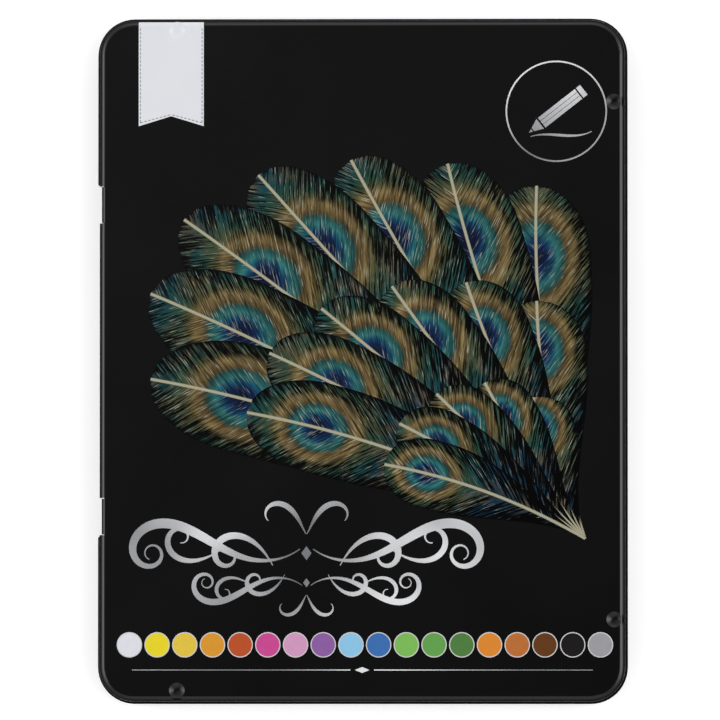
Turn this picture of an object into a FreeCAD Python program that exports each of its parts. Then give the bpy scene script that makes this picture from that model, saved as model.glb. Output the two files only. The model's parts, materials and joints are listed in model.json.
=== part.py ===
"""Flat hinged tin that holds one layer of coloured pencils in a formed tray.

Millimetres. The origin is the middle of the closed case's underside. +X is the
side that opens, -X the hinge side, +Y the end that the points face, +Z is up.
"""

import FreeCAD
import Part
import Sketcher
import os

# Driving dimensions, each with the alias of its cell.
SIZES = {
    # Tinplate case
    "sheet": 0.3,  # thickness of the tinplate
    "case_height": 14.0,  # closed, underside to lid panel
    "case_corner": 9.3,  # lid corner in plan, outside
    "lid_depth": 7.5,  # lid panel to the foot of its skirt
    "lid_edge_round": 1.6,  # lid panel into skirt, outside
    "bead_radius": 0.5,  # rolled hem along the foot of the skirt
    "floor_round": 1.2,  # base floor into wall, outside
    "fit_gap": 0.4,  # lid skirt to base wall
    "rim_radius": 0.45,  # rim of the base, rolled inward
    "rim_gap": 0.6,  # top of that rim to the lid panel
    "roll_flat": 0.04,  # flat left between the rounds of a roll
    # Hinge: two lid straps rolled round wire pins in the base
    "hinge_from_end": 49.8,  # middle of a strap to the end of the lid
    "hinge_drop": 1.5,  # foot of the skirt down to the axis
    "strap_width": 9.6,
    "strap_gap": 0.2,  # strap to either side of its notch
    "strap_recess": 0.6,  # strap face behind the skirt face
    "strap_bend": 1.0,  # lid panel into strap, outside
    "strap_grip": 0.5,  # strap sheet run into the lid panel
    "wall_gap": 0.3,  # strap to the rear wall of the base
    "notch_bevel": 1.0,  # bevel on the hem where a notch cuts it
    "flap_trim": 1.3,  # skirt left out between the straps, from its foot
    "pin_radius": 0.45,
    "pin_play": 0.05,  # radial, pin in the strap roll
    "pin_set_back": 0.1,  # pin end behind the end of its bore
    "knuckle_length": 3.0,
    "knuckle_gap": 0.3,  # strap to the knuckle beside it
    "slot_below": 0.5,  # strap roll to the lower edge of its slot
    "slot_above": 0.3,  # strap roll to the upper edge of its slot
    "seam_gap": 0.25,  # free end of a strap roll to the strap
    # Dimples pressed in the lid beside the rim
    "dimple_radius": 2.1,
    "dimple_depth": 0.35,
    "dimple_inset": 3.0,  # middle to the nearest skirt face
    "dimple_from_end": 22.1,  # front pair to the ends of the lid
    "dimple_from_hinge": 20.9,  # end pair to the hinge side of the lid
    # Formed tray
    "tray_sheet": 0.5,
    "tray_height": 6.7,  # base floor to the top of the flange
    "tray_gap": 0.4,  # flange to the base wall and to the hinge
    "side_flange": 2.6,
    "end_flange": 1.9,
    "well_corner": 1.5,  # corner of the tray well, outside
    "groove_foot": 0.34,  # flat foot under each groove
    # Pencils
    "pencil_count": 18,
    "pencil_flats": 6.9,  # hexagon across flats
    "pencil_edge": 0.8,  # rounding of the long edges
    "pencil_length": 175.0,
    "pencil_spacing": 0.4,  # between neighbours
    "pencil_play": 0.5,  # pencil end to the tray wall
    "groove_gap": 0.03,  # pencil face to groove face
    "lead_radius": 1.4,
    "lead_gap": 0.02,  # lead to its bore
    "point_angle": 10.4,  # half angle of the sharpened cone
    "point_radius": 0.3,  # blunt end of the point
}

# A regular hexagon on its edge lies in a groove of this slope.
SLOPE = "30 deg"

# Sizes that follow from the driving ones. A name with _x, _y or _z is a place.
FOLLOWING = {
    "count": "floor(sizes.pencil_count)",
    "pitch": "sizes.pencil_flats + sizes.pencil_spacing",
    "field_width": "following.count * following.pitch",
    "well_length": "sizes.pencil_length + 2 * sizes.pencil_play",
    "tray_width": "following.field_width + 2 * (sizes.tray_sheet + sizes.side_flange)",
    "tray_length": "following.well_length + 2 * (sizes.tray_sheet + sizes.end_flange)",
    "roll_radius": "sizes.pin_radius + sizes.pin_play + sizes.sheet",
    "rim_width": "2 * sizes.rim_radius",
    "front_stack": "sizes.tray_gap + sizes.fit_gap + 2 * sizes.sheet",
    "hinge_stack": "sizes.tray_gap + 2 * following.roll_radius + sizes.strap_recess",
    "tray_x": "(following.hinge_stack - following.front_stack) / 2",
    "lid_x": "(following.tray_width + following.front_stack + following.hinge_stack) / 2",
    "lid_y": "following.tray_length / 2 + following.front_stack",
    "lid_foot_z": "sizes.case_height - sizes.lid_depth",
    "panel_z": "sizes.case_height - sizes.sheet",
    "bead_height": "2 * sizes.bead_radius",
    "bead_reach": "following.bead_height - sizes.sheet",
    "bead_round": "sizes.bead_radius - sizes.roll_flat / 2",
    "base_x": "following.lid_x - sizes.sheet - sizes.fit_gap",
    "base_y": "following.lid_y - sizes.sheet - sizes.fit_gap",
    "base_corner": "sizes.case_corner - sizes.sheet - sizes.fit_gap",
    "rim_z": "following.panel_z - sizes.rim_gap",
    "rim_round": "sizes.rim_radius - sizes.roll_flat / 2",
    "strap_x": "following.lid_x - sizes.strap_recess",
    "rear_x": "following.strap_x - sizes.sheet - sizes.wall_gap",
    "hinge_x": "following.strap_x - following.roll_radius",
    "hinge_y": "following.lid_y - sizes.hinge_from_end",
    "hinge_z": "following.lid_foot_z - sizes.hinge_drop",
    "notch_half": "sizes.strap_width / 2 + sizes.strap_gap",
    "slot_half": "sizes.strap_width / 2 + sizes.knuckle_gap",
    "bore_length": "2 * (following.slot_half + sizes.knuckle_length)",
    "dimple_ball": "(sizes.dimple_radius ^ 2 + sizes.dimple_depth ^ 2) / (2 * sizes.dimple_depth)",
    "dimple_ball_z": "sizes.case_height - sizes.dimple_depth + following.dimple_ball",
    "tray_z": "sizes.sheet + sizes.tray_height",
    "tray_corner": "following.base_corner - sizes.sheet - sizes.tray_gap",
    "groove_sheet": f"sizes.tray_sheet / cos({SLOPE})",
    "groove_z": f"sizes.sheet - sizes.groove_foot / 2 * tan({SLOPE}) + following.groove_sheet",
    "ridge_z": f"following.groove_z + following.pitch / 2 * tan({SLOPE})",
    "pencil_z": f"following.groove_z + (sizes.pencil_flats / 2 + sizes.groove_gap) / cos({SLOPE})",
    "pencil_reach": f"sizes.pencil_flats / 2 / cos({SLOPE})",
    "cone_slope": "tan(sizes.point_angle * 1 deg)",
}

XY, XZ, YZ = "XY_Plane", "XZ_Plane", "YZ_Plane"
TOLERANCE = 1e-4

doc = FreeCAD.newDocument("pencil_tin")


def make_sizes():
    """The sheet of driving dimensions and the set of sizes that follow from them."""
    sheet = doc.addObject("Spreadsheet::Sheet", "sizes")
    for row, (alias, value) in enumerate(SIZES.items(), start=1):
        sheet.set(f"A{row}", alias)
        sheet.set(f"B{row}", str(value))
        sheet.setAlias(f"B{row}", alias)
    doc.recompute()
    following = doc.addObject("App::VarSet", "following")
    for name, formula in FOLLOWING.items():
        following.addProperty("App::PropertyFloat", name)
        following.setExpression(name, formula)
    doc.recompute()
    return sheet, following


sizes, following = make_sizes()


def value(formula):
    """Number that a formula gives now."""
    result = following.evalExpression(formula)
    return float(getattr(result, "Value", result))


def minus(formula):
    return f"-({formula})"


def origin_feature(body, role):
    return next(item for item in body.Origin.OriginFeatures if item.Role == role)


def new_body(label):
    body = doc.addObject("PartDesign::Body", label)
    body.Label = label
    return body


def new_sketch(body, name, plane, offset=("0", "0", "0")):
    """Sketch on one of the body's own planes, moved by offset in the plane's own axes."""
    sketch = body.newObject("Sketcher::SketchObject", f"{body.Name}_{name}")
    sketch.AttachmentSupport = [(origin_feature(body, plane), "")]
    sketch.MapMode = "FlatFace"
    for axis, formula in zip("xyz", offset):
        sketch.setExpression(f"AttachmentOffset.Base.{axis}", formula)
    return sketch


def at_height(formula):
    return ("0", "0", formula)


def across_hinge():
    """Offset of an XZ sketch to the middle of the +Y hinge."""
    return ("0", "0", minus("following.hinge_y"))


def bind(sketch, constraint, formula):
    index = sketch.addConstraint(constraint)
    sketch.setExpression(f"Constraints[{index}]", formula)


def place(sketch, geometry, position, x, y):
    """Dimensions a point of the sketch from its origin."""
    for kind, axis, formula in (("DistanceX", -2, x), ("DistanceY", -1, y)):
        distance = value(formula)
        if abs(distance) < TOLERANCE:
            sketch.addConstraint(Sketcher.Constraint("PointOnObject", geometry, position, axis))
        elif distance > 0:
            rule = Sketcher.Constraint(kind, -1, 1, geometry, position, distance)
            bind(sketch, rule, formula)
        else:
            rule = Sketcher.Constraint(kind, geometry, position, -1, 1, -distance)
            bind(sketch, rule, minus(formula))


def corner_arc(point, before, after, radius):
    """Arc that rounds a corner, its distance along both sides, and whether it turns left."""
    to_before = (before - point).normalize()
    to_after = (after - point).normalize()
    bisector = (to_before + to_after).normalize()
    cosine = bisector.dot(to_after)
    sine = (1 - cosine**2) ** 0.5
    centre = point + bisector * (radius / sine)
    reach = radius * cosine / sine
    start = point + to_before * reach
    end = point + to_after * reach
    middle = centre - bisector * radius
    turns_left = to_before.cross(to_after).z < 0
    arc = Part.Arc(start, middle, end) if turns_left else Part.Arc(end, middle, start)
    return arc, reach, turns_left


def outline(sketch, corners):
    """Closed outline of corners (x, y) or (x, y, radius), each given as formulas."""
    points = [FreeCAD.Vector(value(corner[0]), value(corner[1]), 0) for corner in corners]
    total = len(points)
    arcs = {}
    reach = [0.0] * total
    for here, corner in enumerate(corners):
        if len(corner) == 3:
            before, after = points[here - 1], points[(here + 1) % total]
            arc, reach[here], turns_left = corner_arc(points[here], before, after, value(corner[2]))
            arcs[here] = (arc, turns_left)
    lines = []
    for here in range(total):
        there = (here + 1) % total
        step = (points[there] - points[here]).normalize()
        segment = Part.LineSegment(points[here] + step * reach[here], points[there] - step * reach[there])
        lines.append(sketch.addGeometry(segment, False))
    for here, (x, y, *radius) in enumerate(corners):
        before, after = lines[here - 1], lines[here]
        if not radius:
            sketch.addConstraint(Sketcher.Constraint("Coincident", before, 2, after, 1))
            place(sketch, after, 1, x, y)
            continue
        arc, turns_left = arcs[here]
        rounding = sketch.addGeometry(arc, False)
        first, last = (1, 2) if turns_left else (2, 1)
        sharp = sketch.addGeometry(Part.Point(points[here]), True)
        sketch.addConstraint(Sketcher.Constraint("PointOnObject", sharp, 1, before))
        sketch.addConstraint(Sketcher.Constraint("PointOnObject", sharp, 1, after))
        place(sketch, sharp, 1, x, y)
        sketch.addConstraint(Sketcher.Constraint("Tangent", before, 2, rounding, first))
        sketch.addConstraint(Sketcher.Constraint("Tangent", rounding, last, after, 1))
        bind(sketch, Sketcher.Constraint("Radius", rounding, value(radius[0])), radius[0])


def rectangle(sketch, low_x, low_y, high_x, high_y, *radius):
    """Rectangle between two opposite corners, with the same rounding at all four."""
    corners = [(low_x, low_y), (high_x, low_y), (high_x, high_y), (low_x, high_y)]
    outline(sketch, [(*corner, *radius) for corner in corners])


def circle(sketch, x, y, radius):
    centre = FreeCAD.Vector(value(x), value(y), 0)
    ring = sketch.addGeometry(Part.Circle(centre, FreeCAD.Vector(0, 0, 1), value(radius)), False)
    place(sketch, ring, 3, x, y)
    bind(sketch, Sketcher.Constraint("Radius", ring, value(radius)), radius)


def extrude(kind, sketch, length, symmetric=False, backwards=False):
    """Pad or Pocket of a sketch by a length, which has to change the volume of its body."""
    body = sketch.getParentGeoFeatureGroup()
    before = body.Shape.Volume if body.Tip else 0.0
    feature = body.newObject(f"PartDesign::{kind}", f"{sketch.Name}_{kind.lower()}")
    feature.Profile = sketch
    feature.SideType = "Symmetric" if symmetric else "One side"
    feature.Reversed = backwards
    feature.setExpression("Length", length)
    return settled(body, feature, before)


def turn(kind, sketch):
    """Revolution or Groove of a sketch about its own vertical axis."""
    body = sketch.getParentGeoFeatureGroup()
    before = body.Shape.Volume if body.Tip else 0.0
    feature = body.newObject(f"PartDesign::{kind}", f"{sketch.Name}_{kind.lower()}")
    feature.Profile = sketch
    feature.ReferenceAxis = (sketch, ["V_Axis"])
    return settled(body, feature, before)


def settled(body, feature, before):
    doc.recompute()
    if abs(body.Shape.Volume - before) < TOLERANCE:
        raise ValueError(f"{feature.Name} changes nothing")
    return feature


def round_edges(body, radius, chosen):
    """Rounds the edges of a body that a test of their bounding box chooses."""
    feature = body.Tip
    edges = enumerate(feature.Shape.Edges, start=1)
    names = [f"Edge{index}" for index, edge in edges if chosen(edge.BoundBox)]
    fillet = body.newObject("PartDesign::Fillet", f"{feature.Name}_round")
    fillet.Base = (feature, names)
    fillet.setExpression("Radius", radius)
    doc.recompute()


def level(box, height):
    """Whether an edge lies wholly at one height."""
    return abs(box.ZMin - height) < TOLERANCE and abs(box.ZMax - height) < TOLERANCE


def within(box, low_x, low_y, high_x, high_y):
    """Whether an edge stays inside a rectangle in plan."""
    inside_x = box.XMin > low_x - TOLERANCE and box.XMax < high_x + TOLERANCE
    return inside_x and box.YMin > low_y - TOLERANCE and box.YMax < high_y + TOLERANCE


def mirror(body, features):
    """Repeats features on the other side of the XZ plane."""
    feature = body.newObject("PartDesign::Mirrored", f"{features[0].Name}_mirrored")
    feature.Originals = features
    feature.MirrorPlane = (origin_feature(body, XZ), [""])
    body.Tip = feature
    doc.recompute()


def lid_outline(sketch, inset):
    """Plan of the lid, moved inward all round."""
    x = f"following.lid_x - ({inset})"
    y = f"following.lid_y - ({inset})"
    rectangle(sketch, minus(x), minus(y), x, y, f"sizes.case_corner - ({inset})")


def base_outline(sketch, inset):
    """Plan of the base, whose rear wall stands further in than the others."""
    front = f"following.base_x - ({inset})"
    rear = minus(f"following.rear_x - ({inset})")
    y = f"following.base_y - ({inset})"
    rectangle(sketch, rear, minus(y), front, y, f"following.base_corner - ({inset})")


def lid_skin(body):
    """Panel and skirt of even sheet, with the panel's edge rounded inside and out."""
    foot = at_height("following.lid_foot_z")
    outside = new_sketch(body, "outside", XY, foot)
    lid_outline(outside, "0")
    extrude("Pad", outside, "sizes.lid_depth")
    inside = new_sketch(body, "inside", XY, foot)
    lid_outline(inside, "sizes.sheet")
    extrude("Pocket", inside, "sizes.lid_depth - sizes.sheet", backwards=True)
    under, top = value("following.panel_z"), value("sizes.case_height")
    round_edges(body, "sizes.lid_edge_round - sizes.sheet", lambda box: level(box, under))
    round_edges(body, "sizes.lid_edge_round", lambda box: level(box, top))


def lid_bead(body):
    """Hem rolled outward along the foot of the skirt."""
    bead = new_sketch(body, "bead", XY, at_height("following.lid_foot_z"))
    lid_outline(bead, minus("following.bead_reach"))
    lid_outline(bead, "sizes.sheet")
    extrude("Pad", bead, "following.bead_height")
    foot = value("following.lid_foot_z")
    crown = value("following.lid_foot_z + following.bead_height")
    side, end = value("following.lid_x"), value("following.lid_y")

    def rolled(box):
        beyond_skirt = not within(box, -side, -end, side, end)
        return level(box, foot) or (level(box, crown) and beyond_skirt)

    round_edges(body, "following.bead_round", rolled)


def lid_flap(body):
    """Skirt between the straps, trimmed clear of its hem."""
    cut = new_sketch(body, "flap", XY, at_height("following.lid_foot_z"))
    inner = minus("following.lid_x - 2 * sizes.sheet")
    outer = minus("following.lid_x + 2 * following.bead_reach")
    rectangle(cut, outer, minus("following.hinge_y"), inner, "following.hinge_y")
    extrude("Pocket", cut, "sizes.flap_trim", backwards=True)


def lid_strap(body):
    """Notch in the rear edge and the strap in it, rolled inward round the hinge axis."""
    face = minus("following.strap_x")
    back = minus("following.strap_x - sizes.sheet")
    bend = minus("following.strap_x - sizes.strap_bend")
    grip = minus("following.strap_x - sizes.strap_bend - sizes.strap_grip")
    axis = minus("following.hinge_x")
    notch = new_sketch(body, "notch", XY, at_height("following.lid_foot_z"))
    near = "following.hinge_y - following.notch_half"
    far = "following.hinge_y + following.notch_half"
    skirt = minus("following.lid_x")
    mouth = minus("following.lid_x + sizes.notch_bevel")
    mouth_corners = [(skirt, far), (mouth, f"{far} + sizes.notch_bevel"), (mouth, near)]
    outline(notch, [(bend, near), (bend, far), *mouth_corners])
    cut = extrude("Pocket", notch, "sizes.lid_depth", backwards=True)
    strap = new_sketch(body, "strap", XZ, across_hinge())
    outline(
        strap,
        [
            (grip, "following.panel_z"),
            (grip, "sizes.case_height"),
            (face, "sizes.case_height", "sizes.strap_bend"),
            (face, "following.hinge_z"),
            (back, "following.hinge_z"),
            (back, "following.panel_z", "sizes.strap_bend - sizes.sheet"),
        ],
    )
    leaf = extrude("Pad", strap, "sizes.strap_width", symmetric=True)
    roll = new_sketch(body, "roll", XZ, across_hinge())
    circle(roll, axis, "following.hinge_z", "following.roll_radius")
    tube = extrude("Pad", roll, "sizes.strap_width", symmetric=True)
    bore = new_sketch(body, "bore", XZ, across_hinge())
    circle(bore, axis, "following.hinge_z", "sizes.pin_radius + sizes.pin_play")
    hole = extrude("Pocket", bore, "sizes.strap_width", symmetric=True)
    seam = new_sketch(body, "seam", XZ, across_hinge())
    seam_end = minus("following.strap_x - sizes.sheet - sizes.seam_gap")
    seam_top = "following.hinge_z + following.roll_radius"
    rectangle(seam, back, "following.hinge_z", seam_end, seam_top)
    slit = extrude("Pocket", seam, "sizes.strap_width", symmetric=True)
    mirror(body, [cut, leaf, tube, hole, slit])


def ball_cap(sketch, radius, top):
    """Half section of a cap of the dimple's ball, from its lowest point up to a height."""
    centre_height, ball, height = value("following.dimple_ball_z"), value(radius), value(top)
    centre = FreeCAD.Vector(0, centre_height, 0)
    low = FreeCAD.Vector(0, centre_height - ball, 0)
    high = FreeCAD.Vector(0, height, 0)
    reach = FreeCAD.Vector((ball**2 - (centre_height - height) ** 2) ** 0.5, height, 0)
    middle = centre + (low + reach - centre * 2).normalize() * ball
    bowl = sketch.addGeometry(Part.Arc(low, middle, reach), False)
    cover = sketch.addGeometry(Part.LineSegment(reach, high), False)
    axis = sketch.addGeometry(Part.LineSegment(high, low), False)
    for first, second in ((bowl, cover), (cover, axis), (axis, bowl)):
        sketch.addConstraint(Sketcher.Constraint("Coincident", first, 2, second, 1))
    sketch.addConstraint(Sketcher.Constraint("Horizontal", cover))
    place(sketch, axis, 1, "0", top)
    sketch.addConstraint(Sketcher.Constraint("PointOnObject", axis, 2, -2))
    place(sketch, bowl, 3, "0", "following.dimple_ball_z")
    bind(sketch, Sketcher.Constraint("Radius", bowl, ball), radius)


def lid_dimples(body):
    """Dimples near the front and end edges: bosses under the panel, then dents in its face."""
    front = ("following.lid_x - sizes.dimple_inset", "following.lid_y - sizes.dimple_from_end")
    end = ("sizes.dimple_from_hinge - following.lid_x", "following.lid_y - sizes.dimple_inset")
    middle_z = "sizes.case_height - sizes.sheet / 2"
    above = "sizes.case_height + sizes.sheet"
    features = []
    for name, (x, y) in (("front", front), ("end", end)):
        offset = (x, "0", minus(y))
        boss = new_sketch(body, f"{name}_boss", XZ, offset)
        ball_cap(boss, "following.dimple_ball + sizes.sheet", middle_z)
        features.append(turn("Revolution", boss))
        dent = new_sketch(body, f"{name}_dent", XZ, offset)
        ball_cap(dent, "following.dimple_ball", above)
        features.append(turn("Groove", dent))
    mirror(body, features)


def make_lid():
    body = new_body("lid_shell")
    lid_skin(body)
    lid_bead(body)
    lid_flap(body)
    lid_strap(body)
    lid_dimples(body)
    return body


def base_skin(body):
    """Floor and walls of even sheet, with a rounded lower edge."""
    outside = new_sketch(body, "outside", XY)
    base_outline(outside, "0")
    extrude("Pad", outside, "following.rim_z")
    inside = new_sketch(body, "inside", XY, at_height("sizes.sheet"))
    base_outline(inside, "sizes.sheet")
    extrude("Pocket", inside, "following.rim_z", backwards=True)
    floor = value("sizes.sheet")
    round_edges(body, "sizes.floor_round - sizes.sheet", lambda box: level(box, floor))
    round_edges(body, "sizes.floor_round", lambda box: level(box, 0.0))


def base_rim(body):
    """Rim of the wall, rolled inward."""
    under = "following.rim_z - following.rim_width"
    rim = new_sketch(body, "rim", XY, at_height(under))
    base_outline(rim, "0")
    base_outline(rim, "following.rim_width")
    extrude("Pad", rim, "following.rim_width")
    top, bottom = value("following.rim_z"), value(under)
    front = value("following.base_x - following.rim_width")
    rear = value("following.rear_x - following.rim_width")
    end = value("following.base_y - following.rim_width")

    def rolled(box):
        inner_edge = within(box, -rear, -end, front, end)
        return level(box, top) or (level(box, bottom) and inner_edge)

    round_edges(body, "following.rim_round", rolled)


def base_knuckles(body):
    """Bored knuckles in the rear wall, parted by the slot that a strap turns in."""
    axis = minus("following.hinge_x")
    roll = new_sketch(body, "knuckle", XZ, across_hinge())
    circle(roll, axis, "following.hinge_z", "following.roll_radius")
    tube = extrude("Pad", roll, "following.bore_length", symmetric=True)
    bore = new_sketch(body, "bore", XZ, across_hinge())
    circle(bore, axis, "following.hinge_z", "sizes.pin_radius")
    hole = extrude("Pocket", bore, "following.bore_length", symmetric=True)
    inner_x = minus("following.hinge_x - following.roll_radius - sizes.tray_gap / 2")
    slot = new_sketch(body, "slot", YZ, at_height(inner_x))
    low = "following.hinge_z - following.roll_radius - sizes.slot_below"
    high = "following.hinge_z + following.roll_radius + sizes.slot_above"
    left = "following.hinge_y - following.slot_half"
    right = "following.hinge_y + following.slot_half"
    rectangle(slot, left, low, right, high)
    gap = extrude("Pocket", slot, "2 * following.roll_radius + sizes.tray_gap")
    mirror(body, [tube, hole, gap])


def make_base():
    body = new_body("base_shell")
    base_skin(body)
    base_rim(body)
    base_knuckles(body)
    return body


def make_pin(label, side):
    """Wire pin pressed in the knuckles of one hinge."""
    body = new_body(label)
    wire = new_sketch(body, "wire", XZ)
    circle(wire, "0", "0", "sizes.pin_radius")
    extrude("Pad", wire, "following.bore_length - 2 * sizes.pin_set_back", symmetric=True)
    body.setExpression("Placement.Base.x", minus("following.hinge_x"))
    body.setExpression("Placement.Base.y", f"{side} * following.hinge_y")
    body.setExpression("Placement.Base.z", "following.hinge_z")
    return body


def tray_grooves(body):
    """Corrugated floor: one groove of even sheet, repeated for every pencil."""
    first_x = "following.tray_x - (following.count - 1) / 2 * following.pitch"
    groove = new_sketch(body, "groove", XZ, (first_x, "0", "0"))
    half = "following.pitch / 2"
    foot = "sizes.groove_foot / 2"
    ridge_under = "following.ridge_z - following.groove_sheet"
    left = [(minus(half), "following.ridge_z"), (minus(half), ridge_under), (minus(foot), "sizes.sheet")]
    right = [(foot, "sizes.sheet"), (half, ridge_under), (half, "following.ridge_z")]
    outline(groove, [*left, *right, ("0", "following.groove_z")])
    single = extrude("Pad", groove, "following.well_length", symmetric=True)
    row = body.newObject("PartDesign::LinearPattern", "tray_groove_row")
    row.Originals = [single]
    row.Direction = (origin_feature(body, "X_Axis"), [""])
    row.Mode = "Spacing"
    row.setExpression("Offset", "following.pitch")
    row.setExpression("Occurrences", "following.count")
    body.Tip = row
    doc.recompute()


def tray_rectangle(sketch, half_x, half_y, radius):
    """Rectangle round the middle of the tray."""
    low_x = f"following.tray_x - ({half_x})"
    high_x = f"following.tray_x + {half_x}"
    rectangle(sketch, low_x, minus(half_y), high_x, half_y, radius)


def tray_walls(body):
    """Walls round the grooves, which stand on the base floor and carry the flange."""
    well_x, well_y = "following.field_width / 2", "following.well_length / 2"
    inside = (well_x, well_y, "sizes.well_corner - sizes.tray_sheet")
    wall = new_sketch(body, "wall", XY, at_height("sizes.sheet"))
    wall_x, wall_y = f"{well_x} + sizes.tray_sheet", f"{well_y} + sizes.tray_sheet"
    tray_rectangle(wall, wall_x, wall_y, "sizes.well_corner")
    tray_rectangle(wall, *inside)
    extrude("Pad", wall, "sizes.tray_height")
    flange = new_sketch(body, "flange", XY, at_height("following.tray_z - sizes.tray_sheet"))
    tray_rectangle(flange, "following.tray_width / 2", "following.tray_length / 2", "following.tray_corner")
    tray_rectangle(flange, *inside)
    extrude("Pad", flange, "sizes.tray_sheet")


def make_tray():
    body = new_body("insert_tray")
    tray_grooves(body)
    tray_walls(body)
    return body


def place_pencil(body, number):
    """Moves a pencil piece from the pencil's own middle to its groove."""
    steps = f"({number} - (following.count + 1) / 2)"
    body.setExpression("Placement.Base.x", f"following.tray_x + {steps} * following.pitch")
    body.setExpression("Placement.Base.z", "following.pencil_z")


def make_barrel(label):
    """Hexagonal barrel with its edges rounded, sharpened to a cone and bored for the lead."""
    body = new_body(label)
    section = new_sketch(body, "section", XZ)
    side, rise, reach = "sizes.pencil_flats / 2", "following.pencil_reach / 2", "following.pencil_reach"
    lower = [(minus(side), minus(rise)), ("0", minus(reach)), (side, minus(rise))]
    upper = [(side, rise), ("0", reach), (minus(side), rise)]
    outline(section, [(*corner, "sizes.pencil_edge") for corner in lower + upper])
    extrude("Pad", section, "sizes.pencil_length", symmetric=True)
    shaving = new_sketch(body, "shaving", XY)
    end = "sizes.pencil_length / 2"
    shoulder = f"{end} - ({reach} - sizes.point_radius) / following.cone_slope"
    outline(shaving, [("sizes.point_radius", end), (reach, shoulder), (reach, end)])
    turn("Groove", shaving)
    bore = new_sketch(body, "bore", XZ)
    circle(bore, "0", "0", "sizes.lead_radius")
    extrude("Pocket", bore, "sizes.pencil_length", symmetric=True)
    return body


def make_lead(label):
    """Coloured lead with its sharpened point."""
    body = new_body(label)
    half = new_sketch(body, "half", XY)
    radius, end = "sizes.lead_radius - sizes.lead_gap", "sizes.pencil_length / 2"
    shoulder = f"{end} - ({radius} - sizes.point_radius) / following.cone_slope"
    tail = [("0", minus(end)), (radius, minus(end))]
    outline(half, [*tail, (radius, shoulder), ("sizes.point_radius", end), ("0", end)])
    turn("Revolution", half)
    return body


def make_clone(original, label):
    """Body of the same form as another, which follows it."""
    body = new_body(label)
    form = body.newObject("PartDesign::FeatureBase", f"{label}_form")
    form.BaseFeature = original
    body.Tip = form
    return body


def make_pencils():
    """Barrel and lead of the first pencil, and their clones in the other grooves."""
    pieces = []
    for name, make in (("barrel", make_barrel), ("lead", make_lead)):
        first = make(f"pencil_01_{name}")
        numbers = range(2, int(value("following.count")) + 1)
        row = [first, *(make_clone(first, f"pencil_{number:02d}_{name}") for number in numbers)]
        for number, body in enumerate(row, start=1):
            place_pencil(body, number)
        pieces += row
    return pieces


def make_parts():
    pins = [make_pin("hinge_pin_upper", 1), make_pin("hinge_pin_lower", -1)]
    return [make_lid(), make_base(), make_tray(), *pins, *make_pencils()]


def write_parts(parts):
    """Checks every object and shape, then writes one file for each part."""
    doc.recompute()
    failed = [item.Name for item in doc.Objects if {"Invalid", "Error"} & set(item.State)]
    failed += [part.Label for part in parts if part.Shape.isNull() or not part.Shape.isValid()]
    if failed:
        raise ValueError(f"failed: {failed}")
    os.makedirs("parts", exist_ok=True)
    for part in parts:
        part.Shape.exportStep(f"parts/{part.Label}.step")


write_parts(make_parts())
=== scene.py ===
"""Looks of the pencil tin: varnished and printed outside, bare tinplate inside, lacquered pencils.

Metres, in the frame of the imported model: +X is the side that opens, +Y the end that the points
face, +Z is up. Sizes of the print are in millimetres, as they are on the lid.
"""

import json
import math

import bpy
import numpy as np
from mathutils import Matrix, Vector
from mathutils.bvhtree import BVHTree
from mathutils.interpolate import poly_3d_calc


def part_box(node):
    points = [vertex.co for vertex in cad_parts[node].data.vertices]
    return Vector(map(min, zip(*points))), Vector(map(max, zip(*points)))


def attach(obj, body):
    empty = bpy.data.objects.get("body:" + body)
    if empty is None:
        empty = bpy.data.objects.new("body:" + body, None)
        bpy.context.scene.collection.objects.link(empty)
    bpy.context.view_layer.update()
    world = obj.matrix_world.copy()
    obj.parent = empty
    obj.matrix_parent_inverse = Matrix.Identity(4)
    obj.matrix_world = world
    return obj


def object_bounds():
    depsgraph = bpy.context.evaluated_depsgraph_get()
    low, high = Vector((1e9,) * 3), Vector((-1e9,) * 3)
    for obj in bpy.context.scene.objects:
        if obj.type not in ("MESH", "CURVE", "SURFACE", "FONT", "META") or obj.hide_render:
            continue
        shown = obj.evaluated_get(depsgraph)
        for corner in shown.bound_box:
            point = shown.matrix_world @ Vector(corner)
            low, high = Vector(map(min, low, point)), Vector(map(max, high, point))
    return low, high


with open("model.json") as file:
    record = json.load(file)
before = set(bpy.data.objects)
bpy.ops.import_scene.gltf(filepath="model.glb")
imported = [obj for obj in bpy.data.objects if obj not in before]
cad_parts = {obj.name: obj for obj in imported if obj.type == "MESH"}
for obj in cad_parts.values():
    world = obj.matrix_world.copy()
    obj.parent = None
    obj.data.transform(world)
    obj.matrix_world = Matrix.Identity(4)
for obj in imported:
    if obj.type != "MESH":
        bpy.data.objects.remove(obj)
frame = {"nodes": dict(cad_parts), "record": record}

MM = 0.001
cad_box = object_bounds()
nodes = frame["nodes"]
slot_colours = {slot["slot"]: slot["base_color"][:3] for slot in frame["record"]["materials"]}
PENCILS = sorted(name.removesuffix("_barrel") for name in nodes if name.endswith("_barrel"))
pencil_colours = [slot_colours[name.replace("pencil", "lacquer")] for name in PENCILS]

# Tinplate, for telling outside from inside and face from skirt
CORNER = 9.3 * MM
RIM = 0.9 * MM
FACING = 0.3
UPRIGHT = 0.2
SHOULDER = math.cos(math.radians(42))
SHOULDER_DEPTH = 2.0 * MM

# How far a pencil's face looks lengthwise where it is cut or sharpened
SHARPENED = 0.1

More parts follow.
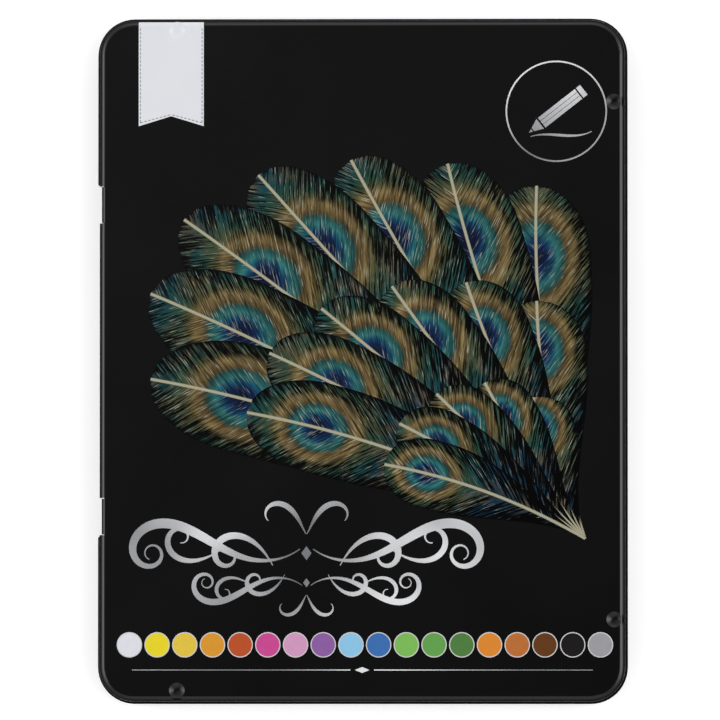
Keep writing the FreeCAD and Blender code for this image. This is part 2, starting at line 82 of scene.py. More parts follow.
# Print on the lid, in millimetres from the middle of the case
PRINT_LIFT = 0.012
LAYER = 0.002
RIBBON_X = (-60.25, -42.7)
RIBBON_TOP, RIBBON_TAIL, RIBBON_FORK = 91.25, 63.2, 65.9
RIBBON_STEP, RIBBON_COLUMNS, RIBBON_LAYER, STITCH_LAYER = 0.15, 121, 4, 8
DIMPLE, DIMPLE_REACH, DIMPLE_LIP = (-49.9, 88.8), 2.75, 2.05
STITCH_INSET, STITCH_WIDTH, STITCH_LENGTH, STITCH_PITCH = 0.46, 0.22, 0.7, 1.08
RING_CENTRE, RING_RADIUS, RING_LINE = (52.3, 67.1), 13.45, 0.42
DOT_FIRST, DOT_PITCH, DOT_Y = -62.67, 7.456, -76.53
DOT_RADIUS, DOT_LINE = 3.41, 0.26
RULE_Y, RULE_HALF, RULE_GAP, RULE_LINE, RULE_POINTS = -83.3, 62.0, 3.2, 0.3, 40
FEATHER_ROOT, FEATHER_LEAN, FEATHER_EYE = (60.0, -48.0), 0.09, 0.8
FEATHER_ROWS, FEATHER_LANES, FEATHER_SEED, QUILL = 120, 25, 7.3, 0.35

# Photograph's view
FRAME_WIDTH = 193.85 * MM
CAMERA_DISTANCE = 2.6
CAMERA_AIM = Vector((-0.58 * MM, 0.1 * MM, cad_box[1].z))
CAMERA_LEAN = (math.radians(1.4), math.radians(1.6))
SENSOR = 36.0

# Light tent: levels of its band, which rises from the floor, and its dim opening overhead
BAND_LEVEL, SIDE_LEVEL, TOP_LEVEL, FOOT_LEVEL = 0.35, 2.8, 0.95, 0.42
SIDE_NARROW, END_NARROW = 8.0, 4.0
BAND_RISE = (0.36, 0.6, 0.1, 1.0)
HORIZON = (0.15, 0.3, 0.0, 1.0)
OPENING = Vector((-0.1, 0.08, 1.0)).normalized()
OPENING_EDGE = (0.90, 0.965, 0.0, 1.0)
OPENING_LEVEL, OPENING_LEAST, OPENING_BY_X, OPENING_BY_Y = 0.05, 0.02, -0.8, 0.9
FLOOR_REACH, FLOOR_GLOW = 4.0, 0.4


def linear(red, green, blue):
    """Scene-linear colour of an 8-bit screen colour."""
    shares = (channel / 255 for channel in (red, green, blue))
    return tuple(s / 12.92 if s <= 0.04045 else ((s + 0.055) / 1.055) ** 2.4 for s in shares)


# Shader building

def put(tree, socket, value):
    """Links a socket to another, or sets its value."""
    if isinstance(value, bpy.types.NodeSocket):
        tree.links.new(value, socket)
    elif socket.type == "RGBA" and len(value) == 3:
        socket.default_value = (*value, 1.0)
    else:
        socket.default_value = value


def node(tree, kind, inputs, **settings):
    made = tree.nodes.new(f"ShaderNode{kind}")
    for name, setting in settings.items():
        setattr(made, name, setting)
    for name, value in inputs.items():
        put(tree, made.inputs[name], value)
    return made


def number(tree, operation, *values):
    return node(tree, "Math", dict(enumerate(values)), operation=operation).outputs[0]


def remap(tree, value, low, high, to_low, to_high):
    """Value carried from one range to another and held within it."""
    ends = {"From Min": low, "From Max": high, "To Min": to_low, "To Max": to_high}
    return node(tree, "MapRange", {"Value": value, **ends}).outputs[0]


def mixed(tree, share, first, second, blend="MIX"):
    """Mix of two colours."""
    made = node(tree, "Mix", {0: share, 6: first, 7: second}, data_type="RGBA", blend_type=blend)
    return made.outputs[2]


def float_mix(tree, share, first, second):
    """Mix of two numbers."""
    return node(tree, "Mix", {0: share, 2: first, 3: second}, data_type="FLOAT").outputs[0]


def ramp(tree, value, stops):
    """Colour that changes along a value, from (place, colour) stops."""
    made = node(tree, "ValToRGB", {"Fac": value})
    elements = made.color_ramp.elements
    while len(elements) < len(stops):
        elements.new(1.0)
    for element, (place, colour) in zip(elements, stops):
        element.position = place
        element.color = (*colour, 1.0)
    return made.outputs[0]


def places(tree, stretch=(1.0, 1.0, 1.0), turn=0.0):
    """Points of the object, stretched and turned about Z."""
    points = node(tree, "TexCoord", {}).outputs["Object"]
    inputs = {"Vector": points, "Scale": stretch, "Rotation": (0.0, 0.0, turn)}
    return node(tree, "Mapping", inputs).outputs[0]


def noise(tree, vector, scale, detail=2.0, roughness=0.5):
    inputs = {"Vector": vector, "Scale": scale, "Detail": detail, "Roughness": roughness}
    return node(tree, "TexNoise", inputs).outputs[0]


def bump(tree, height, distance, strength=1.0):
    return node(tree, "Bump", {"Height": height, "Distance": distance, "Strength": strength}).outputs[0]


def new_material(name):
    """Material with one principled shader, as (material, tree, shader)."""
    material = bpy.data.materials.new(name)
    material.use_nodes = True
    tree = material.node_tree
    return material, tree, tree.nodes["Principled BSDF"]


def dress(tree, shader, **sockets):
    for name, value in sockets.items():
        put(tree, shader.inputs[name.replace("_", " ").title().replace("Ior", "IOR")], value)


# Materials

def add_varnish(tree, shader):
    """Gloss of clear varnish: faint ripple, hairline scratches and uneven polish."""
    cloudy = noise(tree, places(tree), 60.0, 3.0)
    hairs = noise(tree, places(tree, (9000.0, 60.0, 60.0), 0.6), 1.0, 1.0)
    polish = remap(tree, cloudy, 0.3, 0.7, 0.07, 0.11)
    scratched = remap(tree, hairs, 0.72, 0.8, 0.0, 0.06)
    ripple = noise(tree, places(tree), 420.0, 1.0)
    dress(tree, shader, roughness=number(tree, "ADD", polish, scratched))
    dress(tree, shader, normal=bump(tree, ripple, 0.00002, 0.25))


def black_varnish():
    material, tree, shader = new_material("black_varnish")
    tone = noise(tree, places(tree), 25.0, 4.0)
    stops = [(0.3, (0.0026, 0.0026, 0.0026)), (0.7, (0.0042, 0.0042, 0.0044))]
    dress(tree, shader, base_color=ramp(tree, tone, stops))
    add_varnish(tree, shader)
    return material


def side_varnish(name, shine, dull):
    """Black on the walls, where the varnish is thinner and rubs."""
    material, tree, shader = new_material(name)
    tone = noise(tree, places(tree), 40.0, 4.0)
    rubbed = noise(tree, places(tree, (300.0, 300.0, 2600.0)), 1.0, 3.0)
    stops = [(0.3, (0.003, 0.003, 0.003)), (0.7, (0.0052, 0.0052, 0.0054))]
    dress(tree, shader, base_color=ramp(tree, tone, stops), specular_ior_level=shine)
    dress(tree, shader, roughness=remap(tree, rubbed, 0.3, 0.7, dull, dull + 0.1))
    return material


def tinplate():
    """Bare rolled tinplate with its grain along the sheet."""
    material, tree, shader = new_material("tinplate")
    grain = noise(tree, places(tree, (5000.0, 90.0, 5000.0)), 1.0, 3.0)
    spangle = noise(tree, places(tree), 180.0, 3.0)
    tone = mixed(tree, 0.25, grain, spangle)
    stops = [(0.3, (0.46, 0.46, 0.45)), (0.7, (0.62, 0.62, 0.61))]
    dress(tree, shader, base_color=ramp(tree, tone, stops))
    dress(tree, shader, roughness=remap(tree, grain, 0.3, 0.7, 0.24, 0.38))
    dress(tree, shader, metallic=1.0, normal=bump(tree, grain, 0.00002, 0.3))
    return material


def drawn_wire():
    material, tree, shader = new_material("drawn_wire")
    grain = noise(tree, places(tree, (4000.0, 200.0, 4000.0)), 1.0, 2.0)
    stops = [(0.3, (0.38, 0.37, 0.36)), (0.7, (0.6, 0.6, 0.59))]
    dress(tree, shader, base_color=ramp(tree, grain, stops))
    dress(tree, shader, roughness=remap(tree, grain, 0.3, 0.7, 0.22, 0.4), metallic=1.0)
    return material


def tray_plastic():
    """Thin formed sheet, its gloss and colour changing in broad clouds, with a fine pebble."""
    material, tree, shader = new_material("tray_plastic")
    cloudy = noise(tree, places(tree), 45.0, 3.0)
    pebble = noise(tree, places(tree), 1400.0, 2.0)
    stops = [(0.3, (0.70, 0.70, 0.69)), (0.7, (0.77, 0.77, 0.76))]
    dress(tree, shader, base_color=ramp(tree, cloudy, stops))
    dress(tree, shader, roughness=remap(tree, cloudy, 0.3, 0.7, 0.28, 0.42))
    dress(tree, shader, normal=bump(tree, pebble, 0.00004, 0.25))
    return material


def lacquer(name, colour):
    """Dipped lacquer on a pencil: fine runs along the barrel."""
    material, tree, shader = new_material(name)
    runs = noise(tree, places(tree, (1500.0, 60.0, 1500.0)), 1.0, 3.0)
    darker = tuple(channel * 0.82 for channel in colour)
    dress(tree, shader, base_color=ramp(tree, runs, [(0.25, darker), (0.6, colour)]))
    dress(tree, shader, roughness=remap(tree, runs, 0.3, 0.7, 0.14, 0.26))
    dress(tree, shader, normal=bump(tree, runs, 0.00004, 0.3))
    return material


def bare_wood():
    """Light sharpened wood with fine grain along the pencil."""
    material, tree, shader = new_material("bare_wood")
    grain = noise(tree, places(tree, (2600.0, 110.0, 2600.0)), 1.0, 4.0, 0.65)
    tone = [(0.3, linear(176, 128, 84)), (0.55, linear(216, 176, 128)), (0.75, linear(230, 196, 152))]
    dress(tree, shader, base_color=ramp(tree, grain, tone))
    dress(tree, shader, roughness=remap(tree, grain, 0.3, 0.7, 0.5, 0.68))
    dress(tree, shader, normal=bump(tree, grain, 0.00008, 0.5))
    return material


def wax_lead(name, colour):
    material, tree, shader = new_material(name)
    crumbs = noise(tree, places(tree), 3500.0, 3.0)
    darker = tuple(channel * 0.75 for channel in colour)
    dress(tree, shader, base_color=ramp(tree, crumbs, [(0.3, darker), (0.65, colour)]))
    dress(tree, shader, roughness=remap(tree, crumbs, 0.3, 0.7, 0.4, 0.6))
    dress(tree, shader, normal=bump(tree, crumbs, 0.00005, 0.5))
    return material


def flat_ink(name, colour, depth=0.05):
    """One printed colour under the varnish, with the unevenness of its screen."""
    material, tree, shader = new_material(name)
    cloudy = noise(tree, places(tree), 90.0, 4.0)
    darker = tuple(channel * (1 - depth) for channel in colour)
    dress(tree, shader, base_color=ramp(tree, cloudy, [(0.3, darker), (0.7, colour)]))
    add_varnish(tree, shader)
    return material


def dot_ink():
    """Ink of each dot's own colour."""
    material, tree, shader = new_material("dot_ink")
    own = node(tree, "Attribute", {}, attribute_name="ink").outputs["Color"]
    cloudy = noise(tree, places(tree), 500.0, 3.0)
    uneven = remap(tree, cloudy, 0.3, 0.7, 0.0, 0.05)
    dress(tree, shader, base_color=mixed(tree, uneven, own, (0, 0, 0)))
    add_varnish(tree, shader)
    return material


def silver_foil():
    """Stamped silver, its colour holding painted reflection in broad light and dark clouds."""
    material, tree, shader = new_material("silver_foil")
    # Painted reflection: the silver's colour runs in broad clouds from dark grey to near white
    reflection_clouds = noise(tree, places(tree), 38.0, 1.0)
    grain = noise(tree, places(tree, (2500.0, 2500.0, 1.0), 0.4), 1.0, 2.0)
    tone = [(0.32, linear(126, 127, 130)), (0.5, linear(194, 195, 198)), (0.66, linear(240, 241, 243))]
    dress(tree, shader, base_color=ramp(tree, reflection_clouds, tone), metallic=0.35)
    dress(tree, shader, roughness=remap(tree, grain, 0.3, 0.7, 0.3, 0.42))
    return material


def feather_ink():
    """Pencil-drawn feather: strokes along the barbs and a ringed eye near the tip."""
    material, tree, shader = new_material("feather_ink")
    barb = node(tree, "Attribute", {}, attribute_name="barb").outputs["Vector"]
    share = node(tree, "Attribute", {}, attribute_name="share").outputs["Vector"]
    eye = node(tree, "Attribute", {}, attribute_name="eye").outputs["Vector"]
    along, across, seed = node(tree, "SeparateXYZ", {0: barb}).outputs
    rise, edge, _ = node(tree, "SeparateXYZ", {0: share}).outputs
    side = number(tree, "ABSOLUTE", across)
    reflection_clouds = number(tree, "SUBTRACT", along, number(tree, "MULTIPLY", side, 1.15))
    spread = number(tree, "MULTIPLY", side, 0.12)
    lane = node(tree, "CombineXYZ", {0: reflection_clouds, 1: spread, 2: seed}).outputs[0]
    strokes = noise(tree, lane, 1.7, 2.0, 0.6)
    glints = noise(tree, lane, 3.1, 1.0)
    patches = noise(tree, barb, 0.12, 2.0)
    from_eye = node(tree, "VectorMath", {0: eye}, operation="LENGTH").outputs["Value"]
    wander = number(tree, "MULTIPLY_ADD", strokes, 0.22, -0.11)
    ring = number(tree, "ADD", from_eye, wander)
    colours = [
        (0.0, linear(10, 14, 36)), (0.13, linear(18, 40, 80)), (0.19, linear(22, 76, 104)),
        (0.25, linear(52, 118, 118)), (0.32, linear(36, 84, 80)), (0.37, linear(96, 78, 46)),
        (0.46, linear(138, 118, 76)), (0.52, linear(88, 86, 54)), (0.6, linear(42, 76, 62)),
        (0.75, linear(24, 70, 72)), (1.0, linear(18, 50, 68)),
    ]
    hue = ramp(tree, number(tree, "MULTIPLY", ring, 0.5), colours)
    ochre = mixed(tree, remap(tree, patches, 0.45, 0.7, 0.0, 0.65), hue, linear(112, 94, 56))
    hue = mixed(tree, remap(tree, from_eye, 0.9, 1.3, 0.0, 1.0), hue, ochre)
    quill = remap(tree, rise, 0.1, 0.75, 0.5, 0.36)
    loose = number(tree, "MULTIPLY_ADD", edge, 0.2, quill)
    inked = number(tree, "SUBTRACT", strokes, loose)
    solid = remap(tree, from_eye, 0.8, 1.05, 1.0, 0.0)
    cover = number(tree, "MAXIMUM", remap(tree, inked, -0.03, 0.06, 0.0, 1.0), solid)
    depth = remap(tree, strokes, 0.3, 0.65, 0.2, 1.0)
    grey = node(tree, "CombineXYZ", {0: depth, 1: depth, 2: depth}).outputs[0]
    lit = mixed(tree, 1.0, hue, grey, "MULTIPLY")
    cream = mixed(tree, remap(tree, glints, 0.62, 0.72, 0.0, 0.55), lit, linear(190, 192, 174))
    shaft = remap(tree, side, 0.25, 0.5, 1.0, 0.0)
    cover = number(tree, "MULTIPLY", cover, remap(tree, edge, 0.9, 1.0, 1.0, 0.0))
    drawn = mixed(tree, cover, (0, 0, 0), cream)
    dress(tree, shader, base_color=mixed(tree, shaft, drawn, linear(166, 162, 138)))
    add_varnish(tree, shader)
    return material


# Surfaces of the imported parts

def shading(mesh):
    """Normals that the faces are shaded with, which follow the curved solid more closely than facets."""
    corners = np.empty((len(mesh.loops), 3), np.float32)
    mesh.corner_normals.foreach_get("vector", corners.ravel())
    sums = (corners[list(polygon.loop_indices)].sum(axis=0) for polygon in mesh.polygons)
    return [Vector(total).normalized() for total in sums]


def outward(centre, normal, low, high):
    """How far a face of a shell looks away from the middle of its case, seen from above."""
    core_x = min(max(centre.x, low.x + CORNER), high.x - CORNER)
    core_y = min(max(centre.y, low.y + CORNER), high.y - CORNER)
    away = Vector((centre.x - core_x, centre.y - core_y))
    if away.length < MM:
        return 0.0
    return away.normalized().dot(normal.xy)


FACE, EDGE, WALL, INSIDE, INKED = range(5)


def lid_zone(centre, normal, low, high):
    """Glossy face with its shoulder, worn edges, upright skirt, or bare inside."""
    if normal.z > SHOULDER and centre.z > high.z - SHOULDER_DEPTH:
        return FACE
    if normal.z > FACING:
        return EDGE
    if outward(centre, normal, low, high) > FACING:
        return WALL if abs(normal.z) < UPRIGHT else EDGE
    return INSIDE


def base_zone(centre, normal, low, high):
    """The varnished side goes on over the rim, which is rolled inward."""
    under = normal.z < -FACING and centre.z < low.z + MM
    if under or centre.z > high.z - RIM or outward(centre, normal, low, high) > FACING:
        return WALL
    return INSIDE


def finish_part(name, *materials):
    part = nodes[name]
    part.data.materials.clear()
    for material in materials:
        part.data.materials.append(material)
    return part


def finish_shell(name, zone, *materials):
    part = finish_part(name, *materials)
    low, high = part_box(name)
    for polygon in part.data.polygons:
        polygon.material_index = zone(polygon.center, polygon.normal, low, high)


def finish_pencil(name, colour, wood):
    """Lacquer on the sides, bare wood on the sharpened cone and the cut end."""
    barrel = finish_part(f"{name}_barrel", lacquer(f"{name}_lacquer", colour), wood)
    for polygon, normal in zip(barrel.data.polygons, shading(barrel.data)):
        polygon.material_index = int(abs(normal.y) > SHARPENED)
    finish_part(f"{name}_lead", wax_lead(f"{name}_wax", colour))


# Print on the lid

lid_mesh = nodes["lid_shell"].data
lid_tree = BVHTree.FromPolygons(
    [vertex.co.copy() for vertex in lid_mesh.vertices],
    [tuple(polygon.vertices) for polygon in lid_mesh.polygons],
)
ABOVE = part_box("lid_shell")[1].z + 10 * MM


def on_lid(x, y, lift):
    """Point raised from the lid's face, from millimetres, and the lid's shading normal there."""
    place, _, index, _ = lid_tree.ray_cast(Vector((x * MM, y * MM, ABOVE)), Vector((0, 0, -1)))
    polygon = lid_mesh.polygons[index]
    shares = poly_3d_calc([lid_mesh.vertices[corner].co for corner in polygon.vertices], place)
    normal = Vector()
    for loop, share in zip(polygon.loop_indices, shares):
        normal += lid_mesh.corner_normals[loop].vector * share
    normal.normalize()
    return place + normal * (lift * MM), normal


class Print:
    """Flat printed piece: points over the lid, faces, and vectors that its ink reads."""

    def __init__(self):
        self.points = []
        self.faces = []
        self.facts = {}

    def add_points(self, points, layer, facts):
        start = len(self.points)
        lift = PRINT_LIFT + layer * LAYER
        self.points += [(x, y, lift) for x, y in points]
        for name, vectors in facts.items():
            spread = np.broadcast_to(vectors, (len(points), 3))
            self.facts.setdefault(name, []).extend(spread.tolist())
        return start

    def plate(self, points, layer=0, **facts):
        """One flat face with the given outline."""
        start = self.add_points(points, layer, facts)
        self.faces.append(tuple(range(start, start + len(points))))

    def net(self, rows, layer=0, **facts):
        """Rows of points joined by quads."""
        wide = len(rows[0])
        start = self.add_points([point for row in rows for point in row], layer, facts)
        for row in range(len(rows) - 1):
            for first in range(start + row * wide, start + row * wide + wide - 1):
                self.faces.append((first, first + 1, first + wide + 1, first + wide))

    def strip(self, line, widths, layer=0):
        """Line of varying width."""
        line = np.asarray(line, float)
        step = np.gradient(line, axis=0)
        normal = np.stack([-step[:, 1], step[:, 0]], axis=1)
        normal /= np.linalg.norm(normal, axis=1, keepdims=True)
        half = normal * np.broadcast_to(widths, len(line))[:, None] / 2
        self.net(np.stack([line - half, line + half], axis=1).tolist(), layer)

    def build(self, name, material):
        mesh = bpy.data.meshes.new(name)
        places, normals = zip(*(on_lid(*point) for point in self.points))
        mesh.from_pydata(places, [], self.faces)
        for fact, vectors in self.facts.items():
            stored = mesh.attributes.new(fact, "FLOAT_VECTOR", "POINT")
            stored.data.foreach_set("vector", np.ravel(vectors))
        mesh.materials.append(material)
        for polygon in mesh.polygons:
            if polygon.normal.z < 0:
                polygon.flip()
        mesh.shade_smooth()
        mesh.normals_split_custom_set_from_vertices(normals)
        piece = bpy.data.objects.new(name, mesh)
        bpy.context.scene.collection.objects.link(piece)
        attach(piece, "lid")
        return piece


def circle(centre, radius, count=96):
    """Points round a circle, the first repeated at the end."""
    angles = np.linspace(0, math.tau, count + 1)
    return np.stack([centre[0] + radius * np.cos(angles), centre[1] + radius * np.sin(angles)], axis=1)


def ink_dimple_lip(ink):
    """Ink on the outer lip of the dimple that the ribbon crosses."""
    lid_mesh.materials.append(ink)
    for polygon in lid_mesh.polygons:
        away = polygon.center.xy / MM - Vector(DIMPLE)
        if away.length < DIMPLE_REACH and away.y > DIMPLE_LIP:
            polygon.material_index = INKED


def print_ribbon():
    """Swallow-tailed ribbon over the lid's end, with a stitch line along its edges."""
    ribbon = Print()
    columns = np.linspace(*RIBBON_X, RIBBON_COLUMNS)
    middle, half = sum(RIBBON_X) / 2, (RIBBON_X[1] - RIBBON_X[0]) / 2
    feet = RIBBON_FORK - (RIBBON_FORK - RIBBON_TAIL) * abs(columns - middle) / half
    count = int((RIBBON_TOP - RIBBON_TAIL) / RIBBON_STEP)
    shares = np.linspace(0, 1, count)
    rows = []
    for share in shares:
        rows.append([(x, foot + (RIBBON_TOP - foot) * share) for x, foot in zip(columns, feet)])
    ribbon.net(rows, layer=RIBBON_LAYER)
    ink = flat_ink("ribbon_ink", linear(224, 225, 230), 0.03)
    ribbon.build("print_ribbon", ink)
    ink_dimple_lip(ink)
    stitches = Print()
    left, right = RIBBON_X[0] + STITCH_INSET, RIBBON_X[1] - STITCH_INSET
    tail, fork = RIBBON_TAIL + 2 * STITCH_INSET, RIBBON_FORK + STITCH_INSET
    seams = [((left, tail), (left, RIBBON_TOP)), ((right, tail), (right, RIBBON_TOP))]
    seams += [((left, tail), (middle, fork)), ((right, tail), (middle, fork))]
    for start, end in seams:
        start, end = np.array(start), np.array(end)
        length = np.linalg.norm(end - start)
        step = (end - start) / length
        for place in np.arange(0, length - STITCH_LENGTH, STITCH_PITCH):
            dash = [start + step * place, start + step * (place + STITCH_LENGTH)]
            stitches.strip(dash, STITCH_WIDTH, layer=STITCH_LAYER)
    stitches.build("print_stitches", flat_ink("stitch_ink", linear(134, 136, 146)))


def print_dots():
    """Row of colour dots, one for each pencil, with pale rings."""
    dots, rings = Print(), Print()
    for index, colour in enumerate(pencil_colours):
        centre = (DOT_FIRST + index * DOT_PITCH, DOT_Y)
        dots.plate(circle(centre, DOT_RADIUS - DOT_LINE / 2)[:-1].tolist(), ink=colour)
        rings.strip(circle(centre, DOT_RADIUS - DOT_LINE / 2), DOT_LINE, layer=2)
    dots.build("print_dots", dot_ink())
    rings.build("print_dot_rings", flat_ink("pale_ink", linear(208, 207, 208)))


def pen_line(start, heading, bends, step=0.25):
    """Line from a start and a heading in degrees.

    Bends are (millimetres along, degrees for each millimetre).
    """
    marks, turns = zip(*bends)
    along = np.arange(0, marks[-1], step)
    angle = np.radians(heading + np.cumsum(np.interp(along, marks, turns)) * step)
    return np.array(start) + np.cumsum(step * np.stack([np.cos(angle), np.sin(angle)], axis=1), axis=0)


def swelling(count, thin, thick):
    """Widths of a pen stroke that swells in the middle."""
    return thin + (thick - thin) * np.sin(np.linspace(0, math.pi, count)) ** 1.5


def print_flourish(foil):
    """Scrolled pen flourish, the same to both sides, with a smaller one hanging under it."""
    flourish = Print()
    strokes = [
        ((1.5, -2.0), -38, [(0, 4.0), (14, 3.2), (30, -1.5), (44, -8.0), (56, -15.0), (70, -34.0)], 2.5),
        ((8.5, -6.6), 62, [(0, -1.5), (10, -6.0), (22, -16.0), (33, -36.0)], 1.8),
        ((22.0, -2.4), -32, [(0, 1.0), (10, 8.0), (20, 18.0), (28, 40.0)], 1.5),
        ((0.0, 1.5), 60, [(0, 3.0), (8, -8.0), (18, -28.0)], 1.4),
    ]
    tiers = [((-15.0, -48.5), 1.05, 1.05), ((-15.0, -62.0), 0.68, -0.68)]
    for middle, wide, high in tiers:
        for layer, (start, heading, bends, thick) in enumerate(strokes):
            line = pen_line(start, heading, bends)
            widths = swelling(len(line), 0.25, thick) * wide
            for side in (1, -1):
                flourish.strip(line * (side * wide, high) + middle, widths, layer)
        lozenge = np.array([(0.0, -5.0), (1.3, -3.2), (0.0, -1.4), (-1.3, -3.2)])
        flourish.plate((lozenge * (wide, high) + middle).tolist())
    flourish.build("print_flourish", foil)


def print_ring(foil):
    """Thin ring with a pencil drawn in it."""
    ring = Print()
    ring.strip(circle(RING_CENTRE, RING_RADIUS), RING_LINE)
    turn = Matrix.Rotation(math.radians(38), 2)

    def placed(points):
        return [tuple(turn @ Vector(point) + Vector(RING_CENTRE)) for point in points]

    for low, high in ((-1.65, -0.62), (-0.5, 0.5), (0.62, 1.65)):
        ring.plate(placed([(-5.0, low), (7.6, low), (7.6, high), (-5.0, high)]))
    ring.plate(placed([(8.0, -1.65), (9.4, -1.65), (9.4, 1.65), (8.0, 1.65)]))
    ring.plate(placed([(-5.5, -1.65), (-5.5, 1.65), (-8.0, 0.55), (-8.0, -0.55)]))
    ring.plate(placed([(-8.3, -0.42), (-8.3, 0.42), (-9.4, 0.0)]))
    tail = pen_line((-7.2, -6.9), 20, [(0, -6.0), (17, 7.0)])
    ring.strip(tail + np.array(RING_CENTRE), swelling(len(tail), 0.2, 0.7))
    ring.build("print_ring", foil)


def print_rule(foil):
    """Fine rule under the dots, with a lozenge in its middle."""
    rule = Print()
    for side in (1, -1):
        ends = np.array([(side * RULE_GAP, RULE_Y), (side * RULE_HALF, RULE_Y)])
        widths = np.linspace(RULE_LINE, RULE_LINE / 3, RULE_POINTS)
        rule.strip(np.linspace(*ends, RULE_POINTS), widths)
    rule.plate([(-2.0, RULE_Y), (0.0, RULE_Y - 0.8), (2.0, RULE_Y), (0.0, RULE_Y + 0.8)])
    rule.build("print_rule", foil)


def feather(art, base, tip, bow, half_width, layer, seed):
    """One feather from its quill to its tip, bowed sideways by a share of its length."""
    base, tip = np.array(base, float), np.array(tip, float)
    chord = tip - base
    length = np.linalg.norm(chord)
    normal = np.array((-chord[1], chord[0])) / length
    bend = (base + tip) / 2 + normal * bow * length
    rises = np.linspace(0, 1, FEATHER_ROWS)
    lanes = np.linspace(-1, 1, FEATHER_LANES)
    rows, barbs, shares, eyes = [], [], [], []
    for rise in rises:
        spine = base * (1 - rise) ** 2 + bend * 2 * rise * (1 - rise) + tip * rise**2
        heading = (bend - base) * (1 - rise) + (tip - bend) * rise
        heading /= np.linalg.norm(heading)
        aside = np.array((-heading[1], heading[0]))
        swell = min(max((rise - 0.04) / 0.7, 0.0), 1.0)
        past_eye = max(0.0, (rise - FEATHER_EYE) / (1 - FEATHER_EYE))
        closing = max(0.0, 1 - past_eye**2) ** 0.5
        width = QUILL + half_width * (swell * swell * (3 - 2 * swell)) ** 0.8 * closing
        rows.append([tuple(spine - aside * lane * width) for lane in lanes])
        for lane in lanes:
            across = lane * width
            barbs.append((rise * length, across, seed))
            shares.append((rise, abs(lane), 0.0))
            from_eye = (rise - FEATHER_EYE) * length
            eyes.append((from_eye / half_width, across / (half_width * 0.8), 0.0))
    art.net(rows, layer, barb=barbs, share=shares, eye=eyes)


def print_feathers():
    """Fan of feathers over the middle of the lid, the short ones in front."""
    art = Print()
    fans = [
        (14.5, [(47, 47), (23, 53), (-3, 54), (-28, 50), (-48, 38), (-57, 18), (-57, -5)]),
        (12.0, [(47, 16), (28, 21), (8, 20), (-11, 14), (-25, 2), (-31, -14)]),
        (9.0, [(46, -10), (33, -6), (20, -9), (10, -17), (6, -28)]),
    ]
    layer = 0
    for half_width, tips in fans:
        for index, tip in enumerate(tips):
            lean = FEATHER_LEAN * (1 - 2 * index / (len(tips) - 1))
            feather(art, FEATHER_ROOT, tip, lean, half_width, layer, FEATHER_SEED * layer)
            layer += 1
    art.build("print_feathers", feather_ink())


# Studio

def make_floor():
    """Pale floor that keeps the shadow and reads as white."""
    mesh = bpy.data.meshes.new("floor")
    signs = ((-1, -1), (1, -1), (1, 1), (-1, 1))
    corners = [(x * FLOOR_REACH, y * FLOOR_REACH, 0) for x, y in signs]
    mesh.from_pydata(corners, [], [(0, 1, 2, 3)])
    material, tree, shader = new_material("floor_paper")
    fibre = noise(tree, places(tree), 30.0, 3.0)
    stops = [(0.3, (0.86, 0.86, 0.86)), (0.7, (0.88, 0.88, 0.88))]
    dress(tree, shader, base_color=ramp(tree, fibre, stops), roughness=0.9)
    path = node(tree, "LightPath", {}).outputs
    seen = number(tree, "MAXIMUM", path["Is Camera Ray"], path["Is Glossy Ray"])
    seen = number(tree, "MAXIMUM", seen, path["Is Transmission Ray"])
    shader.inputs["Emission Color"].default_value = (1.0, 1.0, 1.0, 1.0)
    put(tree, shader.inputs["Emission Strength"], number(tree, "MULTIPLY", seen, FLOOR_GLOW))
    mesh.materials.append(material)
    floor = bpy.data.objects.new("floor", mesh)
    bpy.context.scene.collection.objects.link(floor)


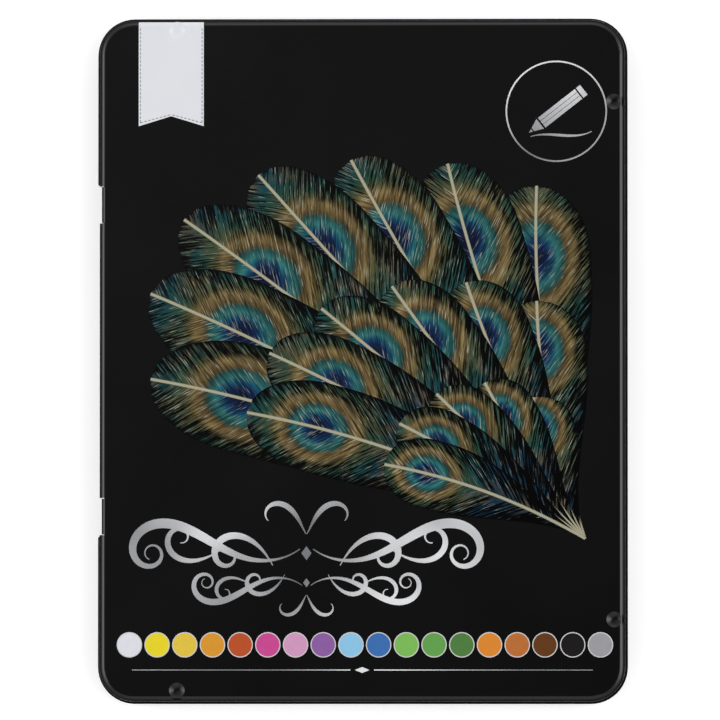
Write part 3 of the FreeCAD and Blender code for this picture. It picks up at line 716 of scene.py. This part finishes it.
def make_world():
    """Light tent: a bright band all round, strongest left and right, and a dim opening overhead."""
    world = bpy.data.worlds.new("tent")
    bpy.context.scene.world = world
    world.use_nodes = True
    tree = world.node_tree
    direction = node(tree, "TexCoord", {}).outputs["Generated"]
    x, y, z = node(tree, "SeparateXYZ", {0: direction}).outputs
    squares = [number(tree, "POWER", axis, 2.0) for axis in (x, y)]
    flat = number(tree, "SQRT", number(tree, "ADD", *squares))
    sideways = number(tree, "ABSOLUTE", number(tree, "DIVIDE", x, flat))
    endways = number(tree, "DIVIDE", y, flat)
    backwards = number(tree, "MULTIPLY", endways, -1.0)
    sides = number(tree, "POWER", sideways, SIDE_NARROW)
    top = number(tree, "POWER", number(tree, "MAXIMUM", endways, 0.0), END_NARROW)
    foot = number(tree, "POWER", number(tree, "MAXIMUM", backwards, 0.0), END_NARROW)
    band = number(tree, "MULTIPLY", sides, SIDE_LEVEL)
    band = number(tree, "MULTIPLY_ADD", top, TOP_LEVEL, band)
    band = number(tree, "MULTIPLY_ADD", foot, FOOT_LEVEL, band)
    band = number(tree, "MULTIPLY_ADD", band, remap(tree, z, *BAND_RISE), BAND_LEVEL)
    slant = number(tree, "MULTIPLY_ADD", x, OPENING_BY_X, OPENING_LEVEL)
    slant = number(tree, "MULTIPLY_ADD", y, OPENING_BY_Y, slant)
    opening = number(tree, "MAXIMUM", slant, OPENING_LEAST)
    tilt = node(tree, "VectorMath", {0: direction, 1: OPENING}, operation="DOT_PRODUCT")
    overhead = remap(tree, tilt.outputs["Value"], *OPENING_EDGE)
    level = float_mix(tree, overhead, band, opening)
    level = float_mix(tree, remap(tree, z, *HORIZON), 1.0, level)
    background = tree.nodes["Background"]
    put(tree, background.inputs["Strength"], level)
    background.inputs["Color"].default_value = (1.0, 1.0, 1.0, 1.0)


def make_camera():
    """Camera nearly straight above the lid, a little towards its lower right."""
    data = bpy.data.cameras.new("camera")
    camera = bpy.data.objects.new("camera", data)
    bpy.context.scene.collection.objects.link(camera)
    bpy.context.scene.camera = camera
    right, down = CAMERA_LEAN
    back = Vector((math.tan(right), -math.tan(down), 1.0)).normalized()
    camera.location = CAMERA_AIM + back * CAMERA_DISTANCE
    camera.rotation_euler = (down, right, 0.0)
    data.sensor_width = SENSOR
    data.lens = SENSOR * CAMERA_DISTANCE / FRAME_WIDTH
    data.clip_end = 20.0


shell = (
    black_varnish(),
    side_varnish("edge_varnish", shine=0.02, dull=0.4),
    side_varnish("wall_varnish", shine=0.3, dull=0.2),
    tinplate(),
)
finish_shell("lid_shell", lid_zone, *shell)
finish_shell("base_shell", base_zone, *shell)
wire = drawn_wire()
for pin in ("hinge_pin_upper", "hinge_pin_lower"):
    finish_part(pin, wire)
finish_part("insert_tray", tray_plastic())
wood = bare_wood()
for pencil, colour in zip(PENCILS, pencil_colours):
    finish_pencil(pencil, colour, wood)

foil = silver_foil()
print_ribbon()
print_dots()
print_ring(foil)
print_flourish(foil)
print_rule(foil)
print_feathers()

make_floor()
make_world()
make_camera()
bpy.context.scene.view_settings.view_transform = "Standard"
